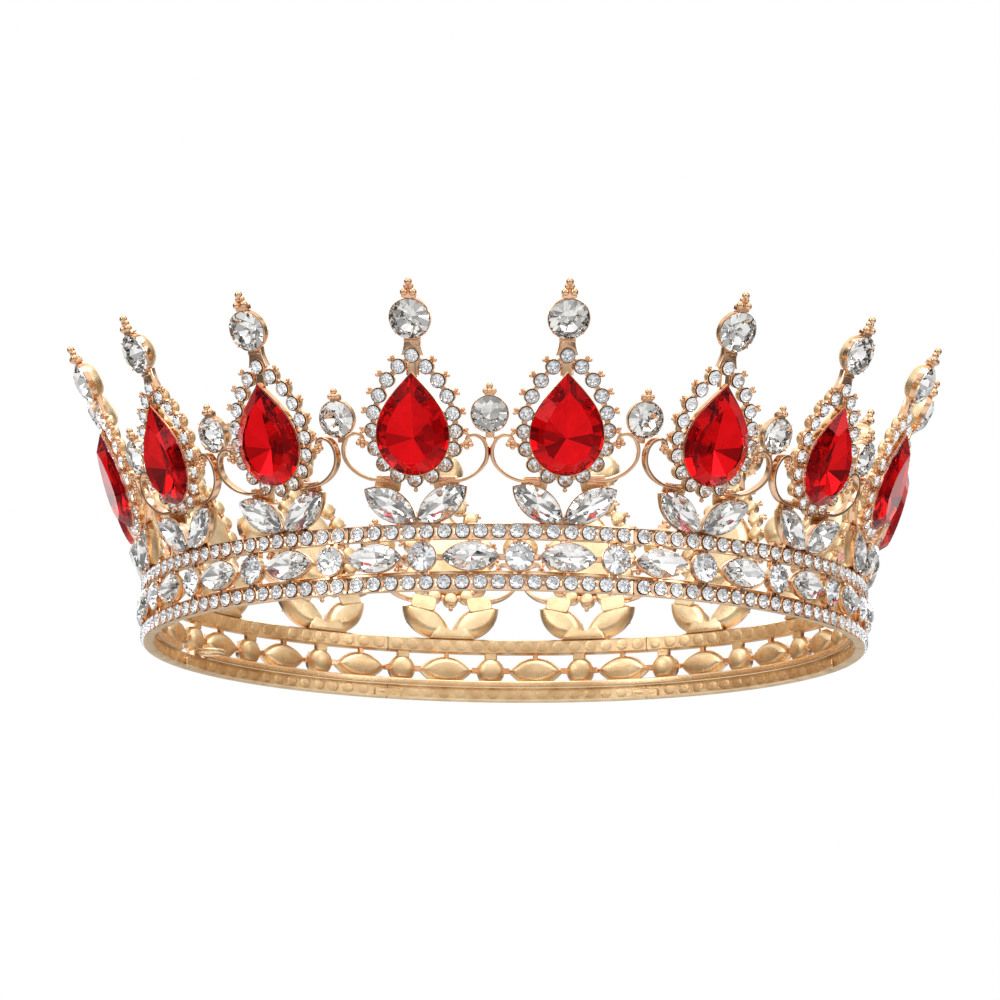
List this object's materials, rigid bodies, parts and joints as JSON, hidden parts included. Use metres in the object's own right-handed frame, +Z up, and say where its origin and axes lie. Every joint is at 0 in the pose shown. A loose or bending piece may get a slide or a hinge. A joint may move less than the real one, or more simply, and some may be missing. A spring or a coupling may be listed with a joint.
{
  "type": "full round crown",
  "caption": "Full round dress crown in pale gold plate: openwork crystal band, leaning spires with red pear crystals in crystal halos, and scrolls between them.",
  "frame": {"origin": "centre of the rim the crown stands on, at the height of the rim's underside", "axes": "+Z up through the head opening; -Y is the middle of the front band casting; +X to the wearer's left as seen from the front"},
  "size_m": [0.158, 0.1583, 0.0524],
  "materials": {
    "plated_gold": "polished",
    "wire_gold": "satin",
    "red_crystal": "gloss",
    "clear_crystal": "gloss"
  },
  "bodies": {
    "root": {"band_casting_1": "plated_gold", "band_casting_2": "plated_gold", "band_casting_3": "plated_gold", "band_casting_4": "plated_gold", "band_casting_5": "plated_gold", "band_casting_6": "plated_gold", "band_casting_7": "plated_gold", "band_casting_8": "plated_gold", "band_navettes": "clear_crystal", "band_rounds": "clear_crystal", "between_rounds": "clear_crystal", "between_settings_1": "plated_gold", "between_settings_2": "plated_gold", "between_settings_3": "plated_gold", "between_settings_4": "plated_gold", "between_settings_5": "plated_gold", "between_settings_6": "plated_gold", "between_settings_7": "plated_gold", "between_settings_8": "plated_gold", "hairpin_eyelet": "wire_gold", "halo_chatons": "clear_crystal", "leaf_navettes": "clear_crystal", "lower_rail_chatons": "clear_crystal", "pear_crystal_01": "red_crystal", "pear_crystal_02": "red_crystal", "pear_crystal_03": "red_crystal", "pear_crystal_04": "red_crystal", "pear_crystal_05": "red_crystal", "pear_crystal_06": "red_crystal", "pear_crystal_07": "red_crystal", "pear_crystal_08": "red_crystal", "pear_crystal_09": "red_crystal", "pear_crystal_10": "red_crystal", "pear_crystal_11": "red_crystal", "pear_crystal_12": "red_crystal", "pear_crystal_13": "red_crystal", "pear_crystal_14": "red_crystal", "pear_crystal_15": "red_crystal", "pear_crystal_16": "red_crystal", "reinforcing_wire": "wire_gold", "seam_plates": "wire_gold", "spire_casting_01": "plated_gold", "spire_casting_02": "plated_gold", "spire_casting_03": "plated_gold", "spire_casting_04": "plated_gold", "spire_casting_05": "plated_gold", "spire_casting_06": "plated_gold", "spire_casting_07": "plated_gold", "spire_casting_08": "plated_gold", "spire_casting_09": "plated_gold", "spire_casting_10": "plated_gold", "spire_casting_11": "plated_gold", "spire_casting_12": "plated_gold", "spire_casting_13": "plated_gold", "spire_casting_14": "plated_gold", "spire_casting_15": "plated_gold", "spire_casting_16": "plated_gold", "top_rounds": "clear_crystal", "upper_rail_chatons": "clear_crystal"}
  },
  "joints": []
}
